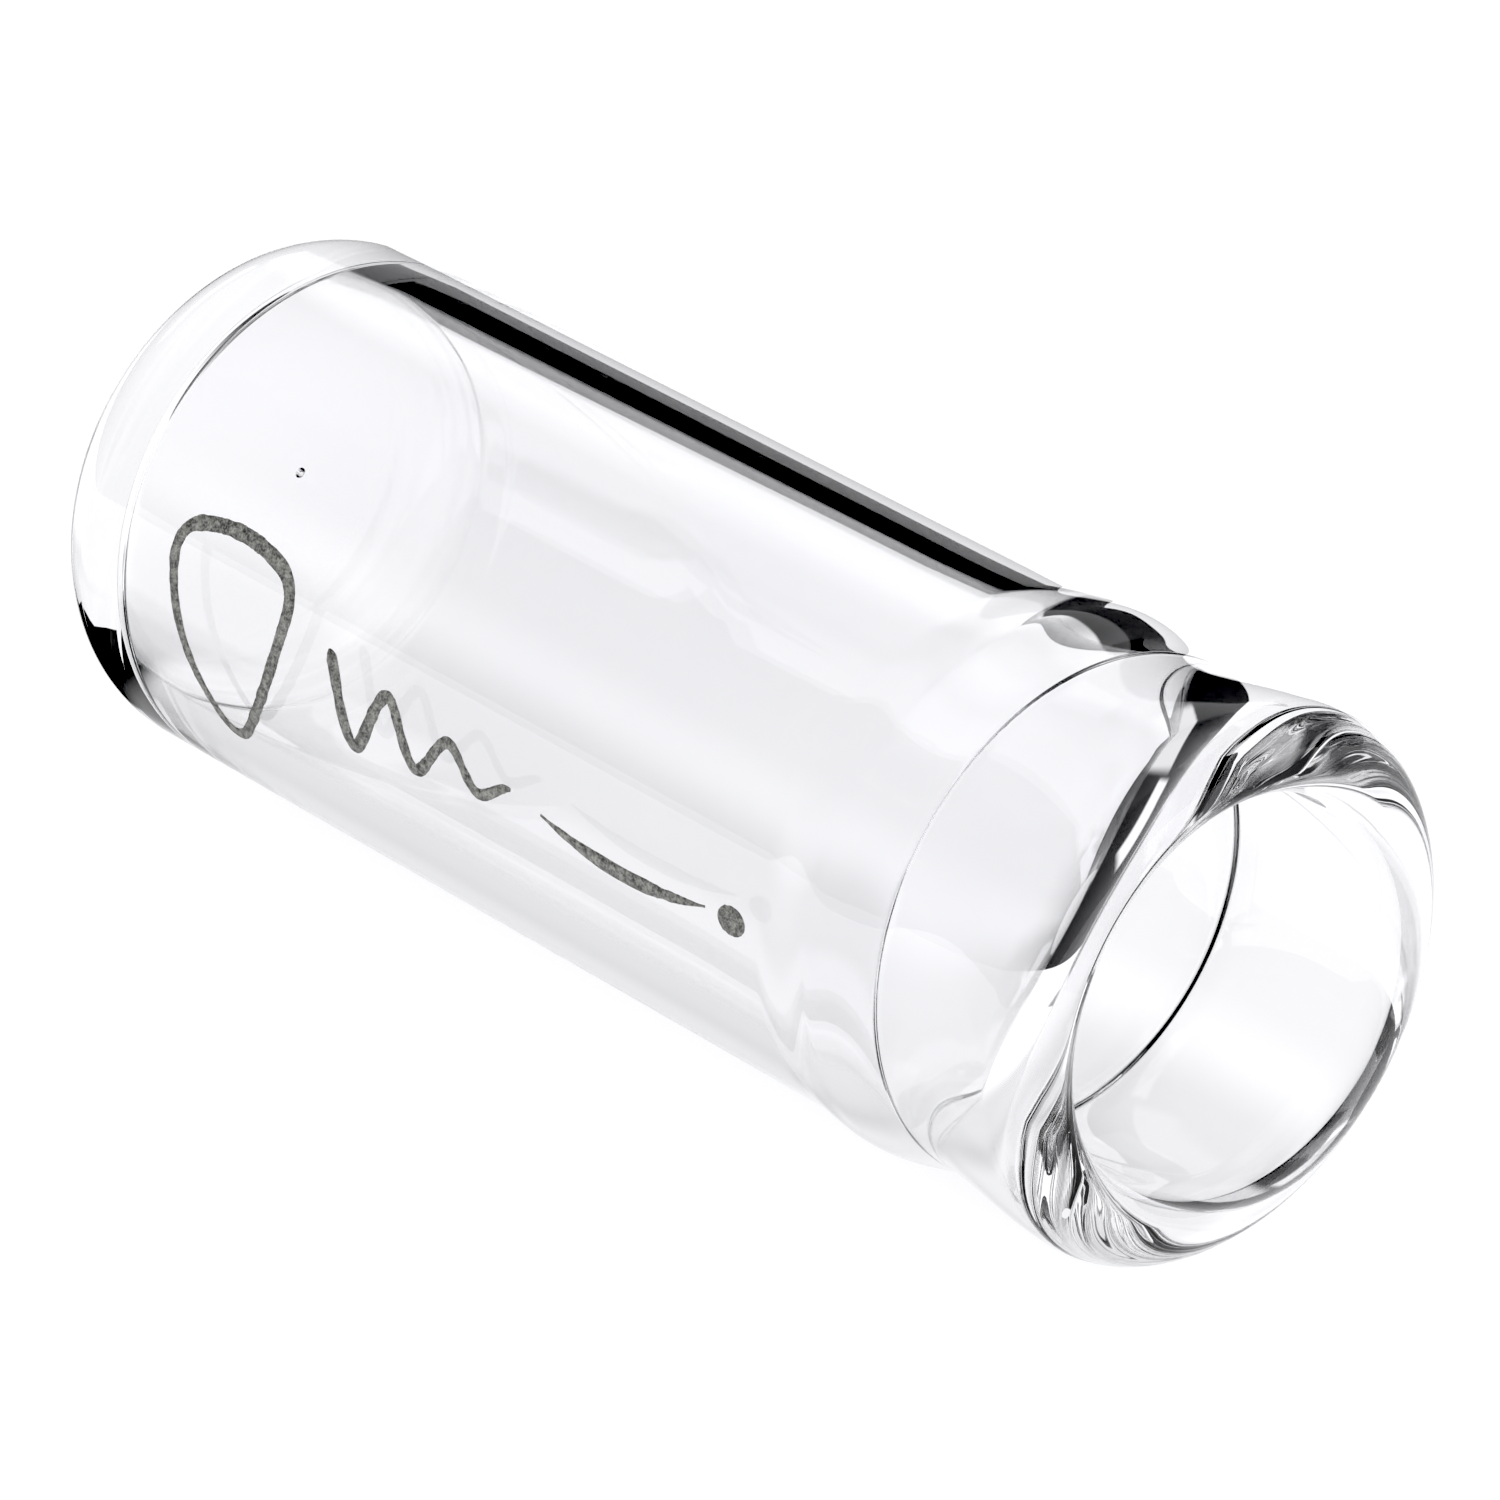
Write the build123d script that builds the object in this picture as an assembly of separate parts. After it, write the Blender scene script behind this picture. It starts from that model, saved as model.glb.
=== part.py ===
from build123d import *
import os

os.makedirs("parts", exist_ok=True)

# A glass guitar slide lying on its side. X runs along its axis from the closed end
# to the mouth, Z is up, and the origin is the centre of the closed end's outer face.
# All sizes are millimetres.

# Driving dimensions
BARREL_RADIUS = 13.5
OVERALL_LENGTH = 71.6
BORE_RADIUS = 11.6
THROAT_RADIUS = 9.65
BASE_THICKNESS = 4.8

# Outside: the rounded heel of the closed end
HEEL_LENGTH = 4.3
HEEL_DEPTH = 4.6

# Outside: shoulder bead, neck groove and lip, each given by its crest or trough.
# Like every other station near the mouth, they are set out from the mouth's rim.
SHOULDER_START_X = OVERALL_LENGTH - 17.9
BEAD_X = OVERALL_LENGTH - 14.5
BEAD_RADIUS = BARREL_RADIUS + 0.38
NECK_X = OVERALL_LENGTH - 9.85
NECK_RADIUS = BARREL_RADIUS - 0.44
LIP_X = OVERALL_LENGTH - 2.45
LIP_RADIUS = BARREL_RADIUS + 0.35
MOUTH_RADIUS = 11.1

# Inside: the bore narrows to a fine crease, then flares down to the throat's straight land
BORE_END_X = OVERALL_LENGTH - 15.6
BORE_CONTROL_X = BORE_END_X + 0.6
CREASE_X = OVERALL_LENGTH - 11.35
CREASE_RADIUS = 10.88
CREASE_HALF_WIDTH = 0.1
CREASE_DEPTH = 0.12
THROAT_CONTROL_X = OVERALL_LENGTH - 8.2
LAND_START_X = OVERALL_LENGTH - 4.9
LAND_END_X = OVERALL_LENGTH - 1.9

# Inside: the rounded corner of the bore's floor
FLOOR_CORNER_LENGTH = 1.5
FLOOR_CORNER_DEPTH = 1.7

# The printed ornament, on the side of the barrel that faces -Y
INK_THICKNESS = 0.06
STROKE_WIDTH = 0.8
MARK_HEIGHT_Z = 1.0

PLECTRUM_X = 15.0
PLECTRUM_HALF_WIDTH = 4.9
PLECTRUM_TOP = 4.4
PLECTRUM_BOTTOM = -7.0
PLECTRUM_SIDE_BULGE = 1.0
PLECTRUM_CORNER_RADIUS = 2.2
PLECTRUM_HOLLOW_SHIFT = (0.18, -0.12)

WAVE_START_X = 22.6
WAVE_HALF_PERIODS = 6
WAVE_HALF_PERIOD_LENGTH = 2.3
WAVE_FIRST_HEIGHT = 2.2
WAVE_LAST_HEIGHT = 0.4

STRING_START_X = 38.6
STRING_END_X = 50.2
STRING_UPPER_SAG = -0.3
STRING_LOWER_SAG = -1.15

DOT_X = 51.8
DOT_STRETCH = 0.4
DOT_WIDTH = 1.5


def s_curve(start, end):
    """A smooth curve that leaves start and reaches end parallel to the X axis."""
    third = (end[0] - start[0]) / 3
    leave = (start[0] + third, start[1])
    arrive = (end[0] - third, end[1])
    return Bezier(start, leave, arrive, end)


def quarter_ellipse(center, length, depth, start_angle):
    """A quarter of an ellipse, turning anticlockwise from start_angle."""
    return EllipticalCenterArc(
        center, length, depth, start_angle=start_angle, arc_size=90
    )


def outside_profile():
    """Half outline of the outer surface, from the closed end's centre to the mouth."""
    face_edge = (0, BARREL_RADIUS - HEEL_DEPTH)
    heel_end = (HEEL_LENGTH, BARREL_RADIUS)
    shoulder = (SHOULDER_START_X, BARREL_RADIUS)
    bead = (BEAD_X, BEAD_RADIUS)
    neck = (NECK_X, NECK_RADIUS)
    lip = (LIP_X, LIP_RADIUS)
    return [
        Line((0, 0), face_edge),
        quarter_ellipse(
            (HEEL_LENGTH, BARREL_RADIUS - HEEL_DEPTH), HEEL_LENGTH, HEEL_DEPTH, 90
        ),
        Line(heel_end, shoulder),
        s_curve(shoulder, bead),
        s_curve(bead, neck),
        s_curve(neck, lip),
        quarter_ellipse(
            (LIP_X, MOUTH_RADIUS), OVERALL_LENGTH - LIP_X, LIP_RADIUS - MOUTH_RADIUS, 0
        ),
    ]


def inside_profile():
    """Half outline of the inner surface, from the mouth to the floor's centre."""
    land_end = (LAND_END_X, THROAT_RADIUS)
    land_start = (LAND_START_X, THROAT_RADIUS)
    throat_pull = (THROAT_CONTROL_X, THROAT_RADIUS)
    throat_top = (CREASE_X + CREASE_HALF_WIDTH, CREASE_RADIUS)
    crease = (CREASE_X, CREASE_RADIUS + CREASE_DEPTH)
    bore_foot = (CREASE_X - CREASE_HALF_WIDTH, CREASE_RADIUS)
    bore_pull = (BORE_CONTROL_X, BORE_RADIUS)
    bore_end = (BORE_END_X, BORE_RADIUS)
    corner_center = (BASE_THICKNESS + FLOOR_CORNER_LENGTH, BORE_RADIUS - FLOOR_CORNER_DEPTH)
    bore_start = (corner_center[0], BORE_RADIUS)
    floor_edge = (BASE_THICKNESS, corner_center[1])
    return [
        quarter_ellipse(
            (LAND_END_X, MOUTH_RADIUS),
            OVERALL_LENGTH - LAND_END_X,
            MOUTH_RADIUS - THROAT_RADIUS,
            270,
        ),
        Line(land_end, land_start),
        Bezier(land_start, throat_pull, throat_top),
        Line(throat_top, crease),
        Line(crease, bore_foot),
        Bezier(bore_foot, bore_pull, bore_end),
        Line(bore_end, bore_start),
        quarter_ellipse(corner_center, FLOOR_CORNER_LENGTH, FLOOR_CORNER_DEPTH, 90),
        Line(floor_edge, (BASE_THICKNESS, 0)),
    ]


def make_glass_body():
    """The whole slide: one piece of glass, closed at one end, with a rolled lip."""
    centre_line = Line((BASE_THICKNESS, 0), (0, 0))
    outline = Wire(outside_profile() + inside_profile() + [centre_line])
    return revolve(make_face(outline), Axis.X, 360)


def printed(drawing):
    """Lay a flat drawing (X along the slide, Y up) on the barrel as a skin of ink."""
    wall = Plane.XZ.offset(BARREL_RADIUS / 2)
    stamp = extrude(wall * Pos(0, MARK_HEIGHT_Z) * drawing, BARREL_RADIUS)
    barrel_section = Plane.YZ.offset(HEEL_LENGTH) * Circle(BARREL_RADIUS)
    barrel = extrude(barrel_section, SHOULDER_START_X - HEEL_LENGTH)
    barrel_surface = barrel.faces().filter_by(GeomType.CYLINDER)[0]
    printed_area = (barrel_surface & stamp).faces()[0]
    return Solid.thicken(printed_area, INK_THICKNESS)


def pen_line(path, width=STROKE_WIDTH):
    """A stroke of constant width along a path, with round ends."""
    return make_face(offset(path, width / 2))


def make_mark_plectrum():
    """The outline of a plectrum: a rounded triangle with bulging sides and an uneven line."""
    left = (PLECTRUM_X - PLECTRUM_HALF_WIDTH, PLECTRUM_TOP)
    right = (PLECTRUM_X + PLECTRUM_HALF_WIDTH, PLECTRUM_TOP)
    tip = (PLECTRUM_X, PLECTRUM_BOTTOM)
    sides = [
        SagittaArc(left, right, PLECTRUM_SIDE_BULGE),
        SagittaArc(right, tip, PLECTRUM_SIDE_BULGE),
        SagittaArc(tip, left, PLECTRUM_SIDE_BULGE),
    ]
    sharp = make_face(Wire(sides))
    outer = fillet(sharp.vertices(), PLECTRUM_CORNER_RADIUS)
    hollow = Pos(*PLECTRUM_HOLLOW_SHIFT) * offset(outer, -STROKE_WIDTH)
    return printed(outer - hollow)


def make_mark_wave():
    """A wave that dies away towards the mouth, like a plucked string."""
    turns = []
    for index in range(WAVE_HALF_PERIODS + 1):
        share = index / WAVE_HALF_PERIODS
        height = WAVE_FIRST_HEIGHT + (WAVE_LAST_HEIGHT - WAVE_FIRST_HEIGHT) * share
        side = 1 if index % 2 == 0 else -1
        turns.append((WAVE_START_X + index * WAVE_HALF_PERIOD_LENGTH, side * height))
    halves = [s_curve(start, end) for start, end in zip(turns, turns[1:])]
    return printed(pen_line(Wire(halves)))


def make_mark_string():
    """A long bowed stroke that tapers to a point at both ends."""
    left = (STRING_START_X, 0)
    right = (STRING_END_X, 0)
    upper_edge = SagittaArc(left, right, STRING_UPPER_SAG)
    lower_edge = SagittaArc(left, right, STRING_LOWER_SAG)
    return printed(make_face(Wire([upper_edge, lower_edge])))


def make_mark_dot():
    """A filled dot, a little longer than it is high, that ends the ornament."""
    middle = Wire([Line((DOT_X, 0), (DOT_X + DOT_STRETCH, 0))])
    return printed(pen_line(middle, DOT_WIDTH))


NODES = {
    "glass_body": make_glass_body,
    "mark_plectrum": make_mark_plectrum,
    "mark_wave": make_mark_wave,
    "mark_string": make_mark_string,
    "mark_dot": make_mark_dot,
}

for name, make in NODES.items():
    export_step(make(), os.path.join("parts", name + ".step"))
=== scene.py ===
import math
from collections import namedtuple

import bmesh
import bpy
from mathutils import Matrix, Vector, noise


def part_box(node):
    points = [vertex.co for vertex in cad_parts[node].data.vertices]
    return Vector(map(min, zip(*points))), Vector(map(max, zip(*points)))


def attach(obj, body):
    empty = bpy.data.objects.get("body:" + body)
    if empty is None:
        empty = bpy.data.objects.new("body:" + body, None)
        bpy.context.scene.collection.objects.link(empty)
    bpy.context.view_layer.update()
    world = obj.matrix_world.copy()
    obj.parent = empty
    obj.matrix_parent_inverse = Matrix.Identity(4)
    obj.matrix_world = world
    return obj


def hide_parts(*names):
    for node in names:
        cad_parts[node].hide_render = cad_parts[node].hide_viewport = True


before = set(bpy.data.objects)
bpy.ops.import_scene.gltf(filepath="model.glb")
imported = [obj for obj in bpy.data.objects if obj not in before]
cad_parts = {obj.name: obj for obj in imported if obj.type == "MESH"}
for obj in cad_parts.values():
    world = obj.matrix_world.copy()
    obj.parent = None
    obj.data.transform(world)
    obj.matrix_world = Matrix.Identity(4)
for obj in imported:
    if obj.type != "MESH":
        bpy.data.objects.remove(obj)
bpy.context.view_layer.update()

MM = 0.001

# ---------------------------------------------------------------- sizes from the frame
glass_low, glass_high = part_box("glass_body")
LENGTH = glass_high[0] - glass_low[0]
CREST_RADIUS = (glass_high[2] - glass_low[2]) / 2
FLOOR_Z = glass_low[2]

# Outside profile of the glass; stations near the mouth are set out from its rim
BARREL_RADIUS = CREST_RADIUS - 0.38 * MM
HEEL_LENGTH = 4.3 * MM
HEEL_DEPTH = 4.6 * MM
SHOULDER_START_X = LENGTH - 17.9 * MM
BEAD_X = LENGTH - 14.5 * MM
NECK_X = LENGTH - 9.85 * MM
NECK_RADIUS = BARREL_RADIUS - 0.44 * MM
LIP_X = LENGTH - 2.45 * MM
LIP_RADIUS = BARREL_RADIUS + 0.35 * MM
MOUTH_RADIUS = 11.1 * MM

# Inside profile of the glass
BORE_RADIUS = BARREL_RADIUS - 1.9 * MM
THROAT_RADIUS = 9.65 * MM
BASE_THICKNESS = 4.8 * MM
FLOOR_CORNER_LENGTH = 1.5 * MM
FLOOR_CORNER_DEPTH = 1.7 * MM
BORE_END_X = LENGTH - 15.6 * MM
BORE_CONTROL_X = BORE_END_X + 0.6 * MM
CREASE_X = LENGTH - 11.35 * MM
CREASE_RADIUS = 10.88 * MM
CREASE_HALF_WIDTH = 0.1 * MM
CREASE_DEPTH = 0.12 * MM
THROAT_CONTROL_X = LENGTH - 8.2 * MM
LAND_START_X = LENGTH - 4.9 * MM
LAND_END_X = LENGTH - 1.9 * MM

# Mesh: faces round the tube, and the small ring that each flat end's centre fan starts from
SEGMENTS = 384
CENTRE_RING_RADIUS = 0.4 * MM

# A seed bubble caught in the barrel wall
BUBBLE_X = 16.0 * MM
BUBBLE_ANGLE = math.radians(136)
BUBBLE_DEPTH = 1.1 * MM
BUBBLE_RADIUS = 0.27 * MM
BUBBLE_COLUMNS = 24
BUBBLE_ROWS = 16

# Printed ornament: drawn in the X and height plane, then laid on the side that faces -Y
INK_LIFT = 0.012 * MM
INK_SKIN = 0.02 * MM
STROKE_WIDTH = 0.78 * MM
MARK_HEIGHT_Z = 1.0 * MM
PLECTRUM_X = 15.0 * MM
PLECTRUM_HALF_WIDTH = 4.9 * MM
PLECTRUM_TOP = 4.4 * MM
PLECTRUM_BOTTOM = -7.0 * MM
PLECTRUM_SIDE_BULGE = 1.0 * MM
PLECTRUM_ROUNDING = 26  # neighbours along the path that each point is averaged with
PLECTRUM_TIP_INSET = 2.4  # half strokes
WAVE_START_X = 22.6 * MM
WAVE_HALF_PERIODS = 6
WAVE_HALF_PERIOD_LENGTH = 2.3 * MM
WAVE_FIRST_HEIGHT = 2.2 * MM
WAVE_LAST_HEIGHT = 0.4 * MM
STRING_START_X = 38.6 * MM
STRING_END_X = 50.2 * MM
STRING_UPPER_SAG = 0.3 * MM
STRING_LOWER_SAG = 1.15 * MM
DOT_X = 52.0 * MM
DOT_HALF_LENGTH = 0.93 * MM
DOT_HALF_HEIGHT = 0.73 * MM

# How much a pen stroke's width wavers, and how many times per millimetre: slowly and finely
SLOW_WAVER = 0.22
SLOW_WAVER_RATE = 1.3
FINE_WAVER = 0.10
FINE_WAVER_RATE = 6

# Pen pressure, as shares of the stroke's width. The wave starts and ends at PEN_TIP; in between its
# width gains or loses a whole stroke's width in so many path points, up to the full width.
PLECTRUM_PRESSURE = 0.86
PLECTRUM_PRESSURE_SWING = 0.14
WAVE_THINNING = 0.35
PEN_TIP = 0.35
PEN_LANDING_POINTS = 6
PEN_LIFTING_POINTS = 10

# The bowed stroke and the dot
STRING_STEPS = 70
STRING_TIP_WIDTH = 0.12 * MM
DOT_STEPS = 24
DOT_END_ANGLE = 0.04  # half turns left out at each end
DOT_EDGE_WAVER = 0.12  # share of the half height
DOT_EDGE_WAVER_STEP = 0.5  # way through the noise at each step

# Camera
CAMERA_AZIMUTH = math.radians(48.28)
CAMERA_ELEVATION = math.radians(28.59)
CAMERA_TARGET = Vector((37.5, 0.6, -1.1)) * MM
CAMERA_DISTANCE = 418 * MM
CAMERA_LENS = 209.8
CAMERA_SENSOR = 36

# Glass and ink
GLASS_INDEX = 1.47
DRAWING_LINE_DEPTH = 0.003 * MM
INK_GRAIN_DEPTH = 0.01 * MM
MOTTLE_SHARE = 0.55
GRAIN_SHARE = 0.45

# Studio lights. Compass angles run from +Y towards -X and heights go up from the horizon, both in
# degrees. A span is (start, end, fade before the start, fade after the end).
Lamp = namedtuple("Lamp", "level compass heights")
SOFTBOX = Lamp(level=0.85, compass=(26, 56, 8, 6), heights=(21, 34, 2, 12))
WING = Lamp(level=1.1, compass=(64, 88, 3, 4), heights=(18, 24, 2, 2))
RIM_LIGHT = Lamp(level=0.9, compass=(-58, -4, 6, 6), heights=(46, 58, 3, 3))
CEILING_GLOW = 0.5
CEILING_FADE_START = 52
CEILING_FADE_END = 66
STUDIO_RADIUS = 1.8
STUDIO_TINT = (0.985, 0.985, 1.0, 1)
WALL_GLOW = 0.003
WORLD_GLOW = 1.12

# Lit table as the glass sees it: beyond TABLE_END it is dark over one span of the compass
TABLE_GLOW = 1.12
TABLE_LIFT = 0.01 * MM
TABLE_END = 0.150
TABLE_END_FADE = 0.005
TABLE_DARK_COMPASS = (2, 68, 6, 10)

# Shades on that table: the share of light lost and the span across the tube, then the spans along
# it, which are counted from the tube's middle
Strip = namedtuple("Strip", "loss across")
CLOSED_END = -LENGTH / 2
MOUTH = LENGTH / 2
UNDER_STRIP = Strip(loss=0.16, across=(-7 * MM, 7 * MM, 4 * MM, 6 * MM))
FRONT_STRIP = Strip(loss=0.27, across=(-14 * MM, -9 * MM, 4 * MM, 3 * MM))
REAR_STRIP = Strip(loss=0.06, across=(18 * MM, 33 * MM, 5 * MM, 12 * MM))
CORNER = Strip(loss=0.8, across=(-26 * MM, -9 * MM, 5 * MM, 4 * MM))
STRIPS_ALONG = (CLOSED_END - 10 * MM, MOUTH - 2 * MM, 25 * MM, 6 * MM)
CORNER_ALONG = (CLOSED_END - 30 * MM, CLOSED_END - 4 * MM, 10 * MM, 3 * MM)

# Open floor, as the camera sees it
FLOOR_RADIUS = 3.0
FLOOR_GLOW = 1.0
FLOOR_MATT = 0.05
FLOOR_STRIP = Strip(loss=0.05, across=(-3 * MM, 3 * MM, 4 * MM, 4 * MM))
FLOOR_STRIP_ALONG = (CLOSED_END + 10 * MM, MOUTH - 6 * MM, 8 * MM, 5 * MM)
FLOOR_CLOUD = 0.01

# Light below this level shows as black
BLACK_POINT = 0.045
LIGHT_BOUNCES = 32
DIFFUSE_BOUNCES = 4


# ---------------------------------------------------------------- curves
def line(start, end, steps):
    """Points from start up to, not including, end."""
    (x0, r0), (x1, r1) = start, end
    return [(x0 + (x1 - x0) * i / steps, r0 + (r1 - r0) * i / steps) for i in range(steps)]


def s_curve(start, end, steps):
    """A cubic that is level at both ends, without its end point."""
    points = []
    for i in range(steps):
        t = i / steps
        ease = t * t * (3 - 2 * t)
        points.append((start[0] + (end[0] - start[0]) * t, start[1] + (end[1] - start[1]) * ease))
    return points


def bend(start, control, end, steps):
    """A quadratic curve pulled towards control, without its end point."""
    points = []
    for i in range(steps):
        t = i / steps
        points.append(tuple(
            (1 - t) ** 2 * a + 2 * t * (1 - t) * b + t * t * c
            for a, b, c in zip(start, control, end)
        ))
    return points


def quarter(center, length, depth, first, last, steps):
    """An elliptical arc from angle first to last in degrees, without its end point."""
    points = []
    for i in range(steps):
        angle = math.radians(first + (last - first) * i / steps)
        points.append((center[0] + length * math.cos(angle), center[1] + depth * math.sin(angle)))
    return points


def outside_profile():
    """Half outline of the outer surface, from the closed end to the rim."""
    shoulder = (SHOULDER_START_X, BARREL_RADIUS)
    bead = (BEAD_X, CREST_RADIUS)
    neck = (NECK_X, NECK_RADIUS)
    lip = (LIP_X, LIP_RADIUS)
    heel_centre = (HEEL_LENGTH, BARREL_RADIUS - HEEL_DEPTH)
    lip_centre = (LIP_X, MOUTH_RADIUS)
    points = line((0, CENTRE_RING_RADIUS), (0, BARREL_RADIUS - HEEL_DEPTH), steps=8)
    points += quarter(heel_centre, HEEL_LENGTH, HEEL_DEPTH, first=180, last=90, steps=24)
    points += line((HEEL_LENGTH, BARREL_RADIUS), shoulder, steps=12)
    points += s_curve(shoulder, bead, steps=14)
    points += s_curve(bead, neck, steps=16)
    points += s_curve(neck, lip, steps=20)
    lip_length = LENGTH - LIP_X
    points += quarter(lip_centre, lip_length, LIP_RADIUS - MOUTH_RADIUS, first=90, last=0, steps=24)
    return points


def inside_profile():
    """Half outline of the inner surface, from the rim back to the floor of the bore."""
    land_end = (LAND_END_X, THROAT_RADIUS)
    land_start = (LAND_START_X, THROAT_RADIUS)
    throat_end = (CREASE_X + CREASE_HALF_WIDTH, CREASE_RADIUS)
    crease = (CREASE_X, CREASE_RADIUS + CREASE_DEPTH)
    bore_foot = (CREASE_X - CREASE_HALF_WIDTH, CREASE_RADIUS)
    bore_end = (BORE_END_X, BORE_RADIUS)
    corner = (BASE_THICKNESS + FLOOR_CORNER_LENGTH, BORE_RADIUS - FLOOR_CORNER_DEPTH)
    rim_centre = (LAND_END_X, MOUTH_RADIUS)
    rim_depth = MOUTH_RADIUS - THROAT_RADIUS
    points = quarter(rim_centre, LENGTH - LAND_END_X, rim_depth, first=0, last=-90, steps=20)
    points += line(land_end, land_start, steps=4)
    points += bend(land_start, (THROAT_CONTROL_X, THROAT_RADIUS), throat_end, steps=18)
    points += line(throat_end, crease, steps=3)
    points += line(crease, bore_foot, steps=3)
    points += bend(bore_foot, (BORE_CONTROL_X, BORE_RADIUS), bore_end, steps=18)
    points += line(bore_end, (corner[0], BORE_RADIUS), steps=14)
    points += quarter(corner, FLOOR_CORNER_LENGTH, FLOOR_CORNER_DEPTH, first=90, last=180, steps=22)
    floor_end = (BASE_THICKNESS, CENTRE_RING_RADIUS)
    points += line((BASE_THICKNESS, BORE_RADIUS - FLOOR_CORNER_DEPTH), floor_end, steps=8)
    points.append(floor_end)
    return points


# ---------------------------------------------------------------- mesh helpers
def new_object(name, bm):
    mesh = bpy.data.meshes.new(name)
    bm.to_mesh(mesh)
    bm.free()
    obj = bpy.data.objects.new(name, mesh)
    bpy.context.collection.objects.link(obj)
    for polygon in mesh.polygons:
        polygon.use_smooth = True
    return obj


def make_glass():
    """The tube: the whole profile turned round the X axis, with a fan of faces over each centre."""
    profile = outside_profile() + inside_profile()
    bm = bmesh.new()
    rings = []
    for x, radius in profile:
        ring = []
        for i in range(SEGMENTS):
            angle = 2 * math.pi * i / SEGMENTS
            ring.append(bm.verts.new((x, radius * math.cos(angle), radius * math.sin(angle))))
        rings.append(ring)
    for lower, upper in zip(rings, rings[1:]):
        for i in range(SEGMENTS):
            j = (i + 1) % SEGMENTS
            bm.faces.new((lower[i], lower[j], upper[j], upper[i]))
    for ring, x in ((rings[0], 0), (rings[-1], BASE_THICKNESS)):
        pole = bm.verts.new((x, 0, 0))
        for i in range(SEGMENTS):
            j = (i + 1) % SEGMENTS
            bm.faces.new((ring[i], ring[j], pole))
    bmesh.ops.recalc_face_normals(bm, faces=bm.faces)
    add_bubble(bm)
    return new_object("clear_glass_body", bm)


def add_bubble(bm):
    """A seed bubble: a small closed pocket in the wall, its faces turned to its own middle."""
    reach = BARREL_RADIUS - BUBBLE_DEPTH
    middle = Vector((BUBBLE_X, reach * math.cos(BUBBLE_ANGLE), reach * math.sin(BUBBLE_ANGLE)))
    made = bmesh.ops.create_uvsphere(
        bm, u_segments=BUBBLE_COLUMNS, v_segments=BUBBLE_ROWS, radius=BUBBLE_RADIUS
    )
    bmesh.ops.translate(bm, verts=made["verts"], vec=middle)
    faces = list({face for vert in made["verts"] for face in vert.link_faces})
    bmesh.ops.reverse_faces(bm, faces=faces)


def on_barrel(x, height, lift):
    """The point on the barrel's -Y side at this height from the ornament's own line."""
    z = height + MARK_HEIGHT_Z
    y = -math.sqrt(BARREL_RADIUS ** 2 - z ** 2)
    scale = (BARREL_RADIUS + lift) / BARREL_RADIUS
    return (x, y * scale, z * scale)


def skin(bm, lower_line, upper_line, closed):
    """A thin closed skin of ink between two lines that have the same number of points."""
    levels = []
    for lift in (INK_LIFT, INK_LIFT + INK_SKIN):
        lower = [bm.verts.new(on_barrel(x, height, lift)) for x, height in lower_line]
        upper = [bm.verts.new(on_barrel(x, height, lift)) for x, height in upper_line]
        levels.append((lower, upper))
    (low_under, up_under), (low_over, up_over) = levels
    count = len(lower_line)
    for i in range(count if closed else count - 1):
        j = (i + 1) % count
        bm.faces.new((low_over[i], low_over[j], up_over[j], up_over[i]))
        bm.faces.new((low_under[i], up_under[i], up_under[j], low_under[j]))
        bm.faces.new((low_under[i], low_under[j], low_over[j], low_over[i]))
        bm.faces.new((up_under[i], up_over[i], up_over[j], up_under[j]))
    if not closed:
        for i in (0, count - 1):
            bm.faces.new((low_under[i], low_over[i], up_over[i], up_under[i]))
    bmesh.ops.recalc_face_normals(bm, faces=bm.faces)


def stroke(name, path, widths, closed=False):
    """A hand-drawn stroke along path; its width follows widths and wavers a little."""
    lower, upper = [], []
    count = len(path)
    for i, (x, height) in enumerate(path):
        before = path[i - 1] if closed or i > 0 else path[0]
        after = path[(i + 1) % count] if closed or i < count - 1 else path[-1]
        along = Vector((after[0] - before[0], after[1] - before[1])).normalized()
        across = Vector((-along.y, along.x))
        place = Vector((x, height, 0)) / MM
        slow = SLOW_WAVER * noise.noise(place * SLOW_WAVER_RATE)
        fine = FINE_WAVER * noise.noise(place * FINE_WAVER_RATE)
        waver = 1 + slow + fine
        half = min(widths[i] * waver, STROKE_WIDTH) / 2
        lower.append((x - across.x * half, height - across.y * half))
        upper.append((x + across.x * half, height + across.y * half))
    bm = bmesh.new()
    skin(bm, lower, upper, closed)
    return new_object(name, bm)


def bulged_side(start, end, bulge, steps):
    """A shallow outward bow from start to end, without its end point."""
    along = Vector((end[0] - start[0], end[1] - start[1]))
    outward = Vector((-along.y, along.x)).normalized()
    points = []
    for i in range(steps):
        t = i / steps
        rise = 4 * t * (1 - t) * bulge
        x = start[0] + along.x * t + outward.x * rise
        height = start[1] + along.y * t + outward.y * rise
        points.append((x, height))
    return points


def plectrum_path():
    """The pen's path round a plectrum: a rounded triangle a little inside its outline."""
    inset = STROKE_WIDTH / 2
    left = (PLECTRUM_X - PLECTRUM_HALF_WIDTH + inset, PLECTRUM_TOP - inset / 2)
    right = (PLECTRUM_X + PLECTRUM_HALF_WIDTH - inset, PLECTRUM_TOP - inset / 2)
    tip = (PLECTRUM_X, PLECTRUM_BOTTOM + PLECTRUM_TIP_INSET * inset)
    bulge = PLECTRUM_SIDE_BULGE
    sharp = bulged_side(left, right, bulge, steps=80)
    sharp += bulged_side(right, tip, bulge, steps=90)
    sharp += bulged_side(tip, left, bulge, steps=90)
    count = len(sharp)
    reach = range(-PLECTRUM_ROUNDING // 2, PLECTRUM_ROUNDING // 2 + 1)
    rounded = []
    for i in range(count):
        near = [sharp[(i + k) % count] for k in reach]
        rounded.append((sum(p[0] for p in near) / len(near), sum(p[1] for p in near) / len(near)))
    return rounded


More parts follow.
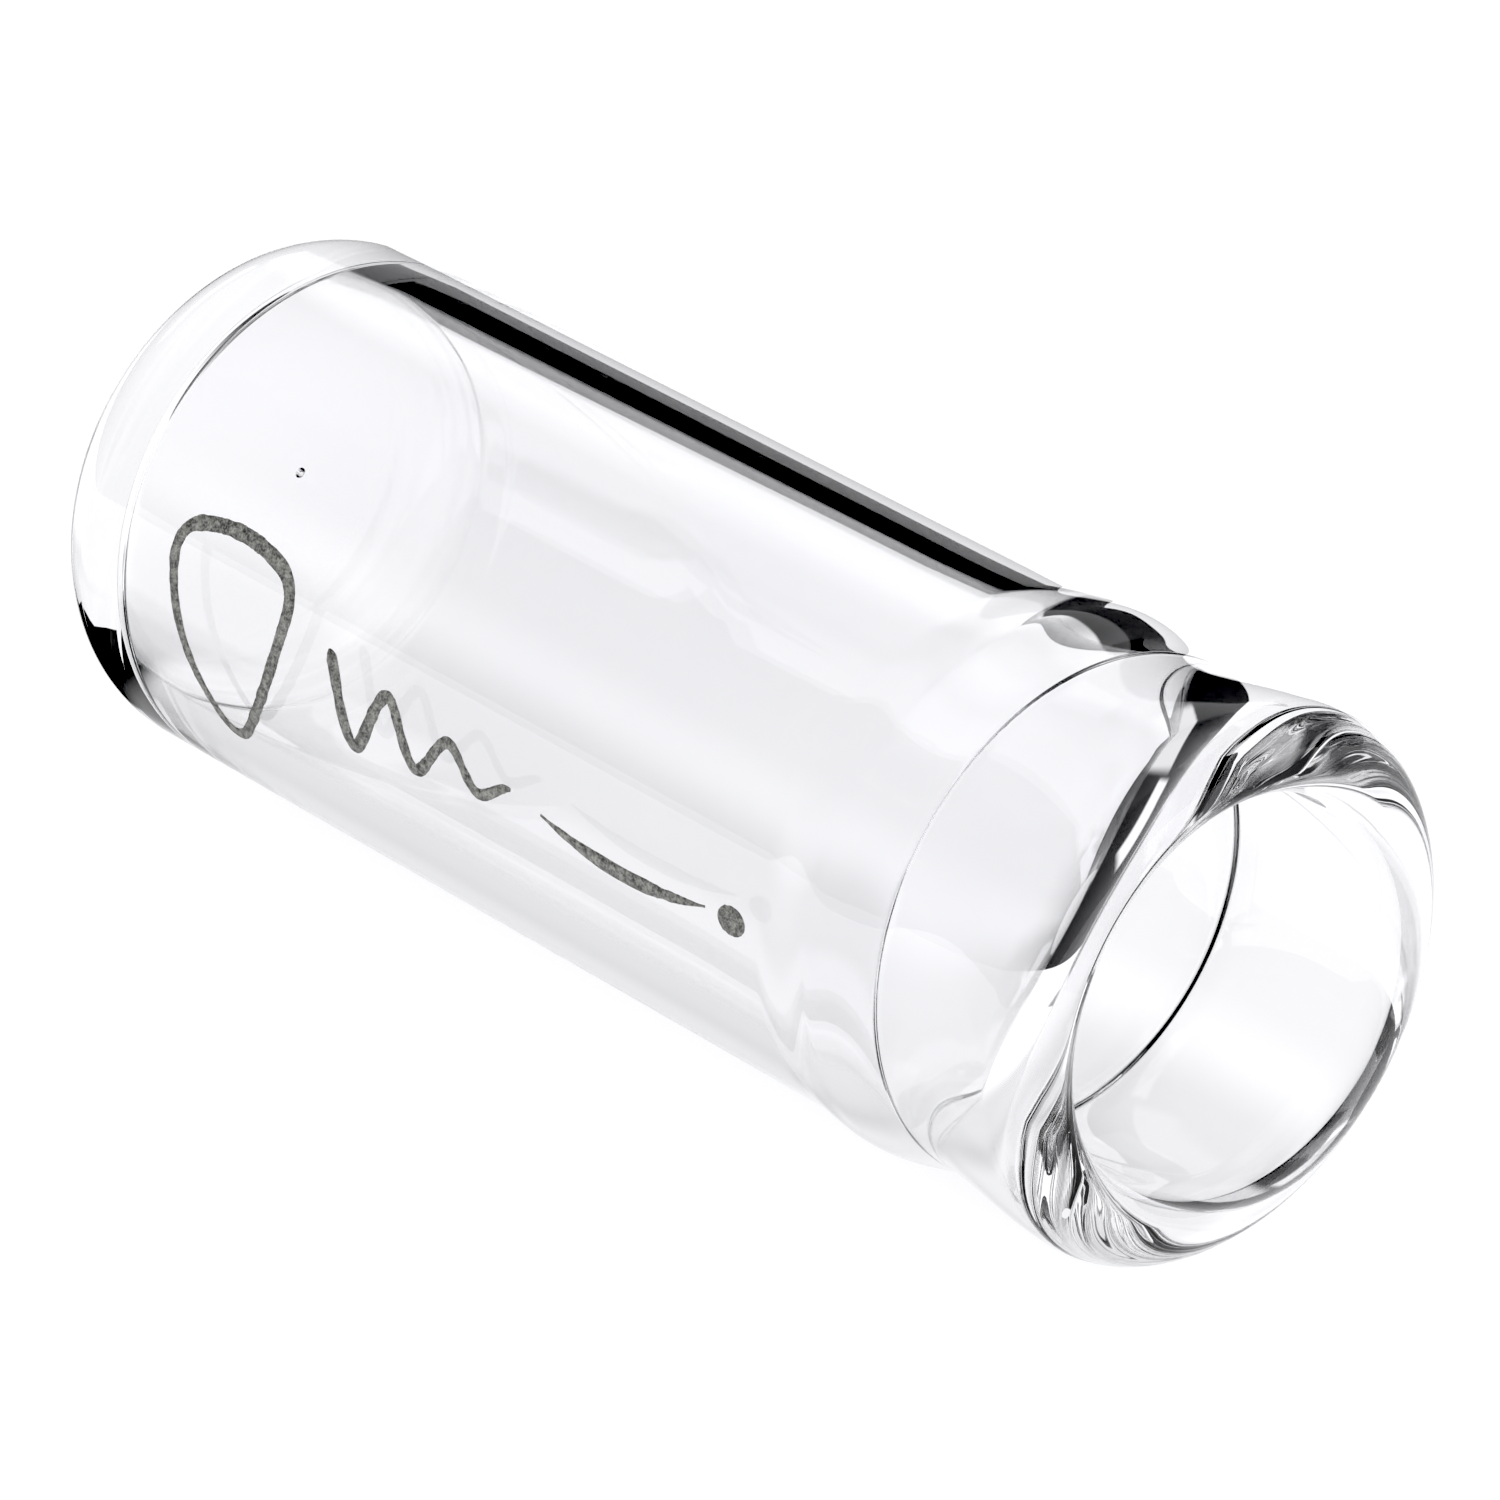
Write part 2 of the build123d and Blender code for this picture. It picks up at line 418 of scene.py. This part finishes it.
def make_plectrum():
    """The plectrum's outline, drawn with a pen whose pressure changes once round."""
    path = plectrum_path()
    count = len(path)
    widths = []
    for i in range(count):
        swing = PLECTRUM_PRESSURE_SWING * math.sin(2 * math.pi * i / count)
        widths.append(STROKE_WIDTH * (PLECTRUM_PRESSURE + swing))
    return stroke("ink_plectrum", path, widths, closed=True)


def make_wave():
    """A wave that dies away towards the mouth, drawn with a pen that thins a little."""
    turns = []
    for index in range(WAVE_HALF_PERIODS + 1):
        share = index / WAVE_HALF_PERIODS
        height = WAVE_FIRST_HEIGHT + (WAVE_LAST_HEIGHT - WAVE_FIRST_HEIGHT) * share
        side = 1 if index % 2 == 0 else -1
        turns.append((WAVE_START_X + index * WAVE_HALF_PERIOD_LENGTH, side * height))
    path = []
    for start, end in zip(turns, turns[1:]):
        path += s_curve(start, end, steps=28)
    path.append(turns[-1])
    count = len(path)
    widths = []
    for i in range(count):
        thinning = 1 - WAVE_THINNING * i / count
        landing = PEN_TIP + i / PEN_LANDING_POINTS
        lifting = PEN_TIP + (count - 1 - i) / PEN_LIFTING_POINTS
        widths.append(STROKE_WIDTH * thinning * min(1, landing, lifting))
    return stroke("ink_wave", path, widths)


def make_string():
    """A bowed stroke that tapers at both ends."""
    middle_sag = (STRING_UPPER_SAG + STRING_LOWER_SAG) / 2
    path = []
    widths = []
    for i in range(STRING_STEPS + 1):
        t = i / STRING_STEPS
        bow = 4 * t * (1 - t)
        x = STRING_START_X + (STRING_END_X - STRING_START_X) * t
        path.append((x, -bow * middle_sag))
        widths.append(max(bow * (STRING_LOWER_SAG - STRING_UPPER_SAG), STRING_TIP_WIDTH))
    return stroke("ink_string", path, widths)


def make_dot():
    """A filled dot with a slightly uneven edge."""
    lower, upper = [], []
    for i in range(DOT_STEPS + 1):
        angle = math.pi * (DOT_END_ANGLE + (1 - 2 * DOT_END_ANGLE) * i / DOT_STEPS)
        x = DOT_X - DOT_HALF_LENGTH * math.cos(angle)
        waver = DOT_EDGE_WAVER * noise.noise(Vector((i * DOT_EDGE_WAVER_STEP, 0, 0)))
        half = DOT_HALF_HEIGHT * math.sin(angle) * (1 + waver)
        half = min(half, DOT_HALF_HEIGHT)
        lower.append((x, -half))
        upper.append((x, half))
    bm = bmesh.new()
    skin(bm, lower, upper, closed=False)
    return new_object("ink_dot", bm)


class NodeMath:
    """Small helpers that add nodes to one material and return their output sockets."""

    def __init__(self, material):
        self.nodes = material.node_tree.nodes
        self.links = material.node_tree.links

    def object_axes(self):
        coordinates = self.nodes.new("ShaderNodeTexCoord")
        split = self.nodes.new("ShaderNodeSeparateXYZ")
        self.links.new(coordinates.outputs["Object"], split.inputs["Vector"])
        return [split.outputs[axis] for axis in "XYZ"]

    def noise_texture(self, scales, detail):
        """Noise with so many features per metre along each axis."""
        coordinates = self.nodes.new("ShaderNodeTexCoord")
        mapping = self.nodes.new("ShaderNodeMapping")
        mapping.inputs["Scale"].default_value = scales
        texture = self.nodes.new("ShaderNodeTexNoise")
        texture.inputs["Scale"].default_value = 1.0
        texture.inputs["Detail"].default_value = detail
        self.links.new(coordinates.outputs["Object"], mapping.inputs["Vector"])
        self.links.new(mapping.outputs["Vector"], texture.inputs["Vector"])
        return texture.outputs["Fac"]

    def mix_colours(self, factor, first, second):
        mix = self.nodes.new("ShaderNodeMix")
        mix.data_type = "RGBA"
        self.feed(mix.inputs[0], factor)
        mix.inputs[6].default_value = first
        mix.inputs[7].default_value = second
        return mix.outputs[2]

    def feed(self, socket, value):
        if isinstance(value, (int, float)):
            socket.default_value = value
        else:
            self.links.new(value, socket)

    def maths(self, operation, first, second=0.0):
        node = self.nodes.new("ShaderNodeMath")
        node.operation = operation
        self.feed(node.inputs[0], first)
        self.feed(node.inputs[1], second)
        return node.outputs["Value"]

    def ramp(self, value, start, end):
        """0 before start, 1 after end, smooth between them; start may be the larger."""
        node = self.nodes.new("ShaderNodeMapRange")
        node.interpolation_type = "SMOOTHSTEP"
        node.inputs["From Min"].default_value = start
        node.inputs["From Max"].default_value = end
        self.feed(node.inputs["Value"], value)
        return node.outputs["Result"]

    def band(self, value, low, high, fade_low, fade_high):
        """1 between low and high, fading to 0 over fade_low below and fade_high above."""
        rise = self.ramp(value, low - fade_low, low)
        fall = self.ramp(value, high + fade_high, high)
        return self.maths("MULTIPLY", rise, fall)


def glass_material():
    """Clear glass with faint drawing lines along the tube and a trace of tint that comes and goes."""
    material = bpy.data.materials.new("drawn_glass")
    material.use_nodes = True
    nodes, links = material.node_tree.nodes, material.node_tree.links
    shader = nodes["Principled BSDF"]
    shader.inputs["Roughness"].default_value = 0.0
    shader.inputs["IOR"].default_value = GLASS_INDEX
    shader.inputs["Transmission Weight"].default_value = 1.0
    node = NodeMath(material)
    lines = node.noise_texture(scales=(45, 320, 320), detail=1.5)
    bump = nodes.new("ShaderNodeBump")
    bump.inputs["Strength"].default_value = 1.0
    bump.inputs["Distance"].default_value = DRAWING_LINE_DEPTH
    links.new(lines, bump.inputs["Height"])
    links.new(bump.outputs["Normal"], shader.inputs["Normal"])
    patches = node.noise_texture(scales=(60, 60, 60), detail=2.0)
    tint = node.mix_colours(patches, first=(0.975, 0.975, 0.99, 1), second=(1, 1, 1, 1))
    links.new(tint, shader.inputs["Base Color"])
    return material


def ink_material():
    """Fired silver-grey ink: mottled, speckled and slightly grainy."""
    material = bpy.data.materials.new("speckled_ink")
    material.use_nodes = True
    nodes, links = material.node_tree.nodes, material.node_tree.links
    shader = nodes["Principled BSDF"]
    shader.inputs["Metallic"].default_value = 0.0
    shader.inputs["Roughness"].default_value = 0.5
    shader.inputs["Specular IOR Level"].default_value = 0.3
    node = NodeMath(material)
    mottle = node.ramp(node.noise_texture(scales=(2600, 2600, 2600), detail=3.0), start=0.30, end=0.70)
    grain = node.ramp(node.noise_texture(scales=(9500, 9500, 9500), detail=1.0), start=0.35, end=0.65)
    coarse = node.maths("MULTIPLY", mottle, MOTTLE_SHARE)
    fine = node.maths("MULTIPLY", grain, GRAIN_SHARE)
    blend = node.maths("ADD", coarse, fine)
    colour = node.mix_colours(blend, first=(0.060, 0.062, 0.060, 1), second=(0.36, 0.36, 0.34, 1))
    links.new(colour, shader.inputs["Base Color"])
    bump = nodes.new("ShaderNodeBump")
    bump.inputs["Strength"].default_value = 0.6
    bump.inputs["Distance"].default_value = INK_GRAIN_DEPTH
    links.new(grain, bump.inputs["Height"])
    links.new(bump.outputs["Normal"], shader.inputs["Normal"])
    return material


def strip_shade(node, y, strip):
    """The share of light lost in one strip."""
    return node.maths("MULTIPLY", node.band(y, *strip.across), strip.loss)


def floor_shade(node, x, y):
    """The share of light lost on the open floor, under the tube."""
    along = node.band(x, *FLOOR_STRIP_ALONG)
    return node.maths("MULTIPLY", strip_shade(node, y, FLOOR_STRIP), along)


def table_shade(node, x, y):
    """The share of light lost on the table as the glass sees it."""
    strips = strip_shade(node, y, UNDER_STRIP)
    for strip in (FRONT_STRIP, REAR_STRIP):
        strips = node.maths("ADD", strips, strip_shade(node, y, strip))
    strips = node.maths("MULTIPLY", strips, node.band(x, *STRIPS_ALONG))
    corner = node.maths("MULTIPLY", strip_shade(node, y, CORNER), node.band(x, *CORNER_ALONG))
    return node.maths("ADD", strips, corner)


def floor_material():
    """A back-lit white table top: mostly its own glow, with a matt share that takes soft shadows."""
    material = bpy.data.materials.new("lit_table")
    material.use_nodes = True
    nodes, links = material.node_tree.nodes, material.node_tree.links
    shader = nodes["Principled BSDF"]
    shader.inputs["Base Color"].default_value = (FLOOR_MATT, FLOOR_MATT, FLOOR_MATT, 1)
    shader.inputs["Roughness"].default_value = 1.0
    shader.inputs["Specular IOR Level"].default_value = 0.0
    shader.inputs["Emission Color"].default_value = STUDIO_TINT
    node = NodeMath(material)
    x, y, _ = node.object_axes()
    lit = node.maths("SUBTRACT", 1.0, floor_shade(node, x, y))
    clouds = node.noise_texture(scales=(25, 25, 25), detail=2.0)
    cloud = node.maths("MULTIPLY", clouds, FLOOR_CLOUD)
    level = node.maths("MULTIPLY", node.maths("ADD", lit, cloud), FLOOR_GLOW)
    links.new(level, shader.inputs["Emission Strength"])
    return material


def studio_material(name):
    """An emission material: returns it with its node helper, shader, compass angle and object axes."""
    material = bpy.data.materials.new(name)
    material.use_nodes = True
    nodes, links = material.node_tree.nodes, material.node_tree.links
    nodes.clear()
    output = nodes.new("ShaderNodeOutputMaterial")
    emission = nodes.new("ShaderNodeEmission")
    links.new(emission.outputs["Emission"], output.inputs["Surface"])
    emission.inputs["Color"].default_value = STUDIO_TINT
    node = NodeMath(material)
    x, y, z = node.object_axes()
    compass = node.maths("DEGREES", node.maths("ARCTAN2", node.maths("MULTIPLY", x, -1.0), y))
    return material, node, emission, compass, (x, y, z)


def dome_material():
    """A dark studio: a softbox beyond the tube, its wing, a light for the rim, and a dim ceiling."""
    material, node, emission, compass, (_, _, z) = studio_material("studio_dome")
    height = node.maths("DEGREES", node.maths("ARCSINE", node.maths("DIVIDE", z, STUDIO_RADIUS)))
    total = WALL_GLOW
    for lamp in (SOFTBOX, WING, RIM_LIGHT):
        sides = node.band(compass, *lamp.compass)
        patch = node.maths("MULTIPLY", sides, node.band(height, *lamp.heights))
        total = node.maths("ADD", total, node.maths("MULTIPLY", patch, lamp.level))
    ceiling = node.ramp(height, CEILING_FADE_START, CEILING_FADE_END)
    total = node.maths("ADD", total, node.maths("MULTIPLY", ceiling, CEILING_GLOW))
    node.feed(emission.inputs["Strength"], total)
    return material


def table_material():
    """The lit table as the glass sees it: shaded near the tube, dark past its far edge."""
    material, node, emission, compass, (x, y, _) = studio_material("table_seen_through_glass")
    squares = node.maths("ADD", node.maths("MULTIPLY", x, x), node.maths("MULTIPLY", y, y))
    distance = node.maths("SQRT", squares)
    past_end = node.ramp(distance, TABLE_END - TABLE_END_FADE, TABLE_END + TABLE_END_FADE)
    dark = node.maths("MULTIPLY", node.band(compass, *TABLE_DARK_COMPASS), past_end)
    level = node.maths("SUBTRACT", node.maths("SUBTRACT", 1.0, dark), table_shade(node, x, y))
    level = node.maths("MAXIMUM", level, 0.0)
    node.feed(emission.inputs["Strength"], node.maths("MULTIPLY", level, TABLE_GLOW))
    return material


def make_dome():
    """The studio's walls and lights, seen only through and in the glass."""
    bm = bmesh.new()
    bmesh.ops.create_uvsphere(bm, u_segments=96, v_segments=48, radius=STUDIO_RADIUS)
    dome = new_object("studio_dome", bm)
    dome.location = (LENGTH / 2, 0, FLOOR_Z)
    dome.data.materials.append(dome_material())
    hide_from_camera(dome)


def make_table():
    """The table top as the glass sees it, just above the floor that the camera sees."""
    bm = bmesh.new()
    bmesh.ops.create_circle(bm, cap_ends=True, segments=96, radius=STUDIO_RADIUS)
    table = new_object("table_seen_through_glass", bm)
    table.location = (LENGTH / 2, 0, FLOOR_Z + TABLE_LIFT)
    table.data.materials.append(table_material())
    hide_from_camera(table)


def hide_from_camera(obj):
    """Leave a studio piece visible to the glass only."""
    obj.visible_camera = False
    obj.visible_diffuse = False
    obj.visible_shadow = False


def make_floor():
    bm = bmesh.new()
    bmesh.ops.create_circle(bm, cap_ends=True, segments=64, radius=FLOOR_RADIUS)
    obj = new_object("floor", bm)
    obj.location = (LENGTH / 2, 0, FLOOR_Z)
    obj.data.materials.append(floor_material())


def make_world():
    world = bpy.data.worlds.new("studio")
    bpy.context.scene.world = world
    world.use_nodes = True
    background = world.node_tree.nodes["Background"]
    background.inputs["Color"].default_value = (1, 1, 1, 1)
    background.inputs["Strength"].default_value = WORLD_GLOW
    world.cycles.sampling_method = "NONE"


def make_camera():
    data = bpy.data.cameras.new("camera")
    data.lens = CAMERA_LENS
    data.sensor_width = CAMERA_SENSOR
    data.clip_start = 0.01
    data.clip_end = 20
    obj = bpy.data.objects.new("camera", data)
    bpy.context.collection.objects.link(obj)
    back = Vector((
        math.sin(CAMERA_AZIMUTH) * math.cos(CAMERA_ELEVATION),
        -math.cos(CAMERA_AZIMUTH) * math.cos(CAMERA_ELEVATION),
        math.sin(CAMERA_ELEVATION),
    ))
    obj.location = CAMERA_TARGET + back * CAMERA_DISTANCE
    obj.rotation_mode = "QUATERNION"
    obj.rotation_quaternion = (-back).to_track_quat("-Z", "Y")
    bpy.context.scene.camera = obj


glass = make_glass()
glass.data.materials.append(glass_material())
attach(glass, "root")
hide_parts("glass_body")

ink = ink_material()
for make_mark, node_name in (
    (make_plectrum, "mark_plectrum"),
    (make_wave, "mark_wave"),
    (make_string, "mark_string"),
    (make_dot, "mark_dot"),
):
    mark = make_mark()
    mark.data.materials.append(ink)
    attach(mark, "root")
    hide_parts(node_name)

make_floor()
make_dome()
make_table()
make_world()
make_camera()

scene = bpy.context.scene
scene.view_settings.view_transform = "Standard"
scene.view_settings.use_curve_mapping = True
scene.view_settings.curve_mapping.black_level = (BLACK_POINT,) * 3
scene.view_settings.curve_mapping.update()
scene.cycles.max_bounces = LIGHT_BOUNCES
scene.cycles.transmission_bounces = LIGHT_BOUNCES
scene.cycles.glossy_bounces = LIGHT_BOUNCES
scene.cycles.diffuse_bounces = DIFFUSE_BOUNCES
scene.cycles.blur_glossy = 0
scene.cycles.use_denoising = True
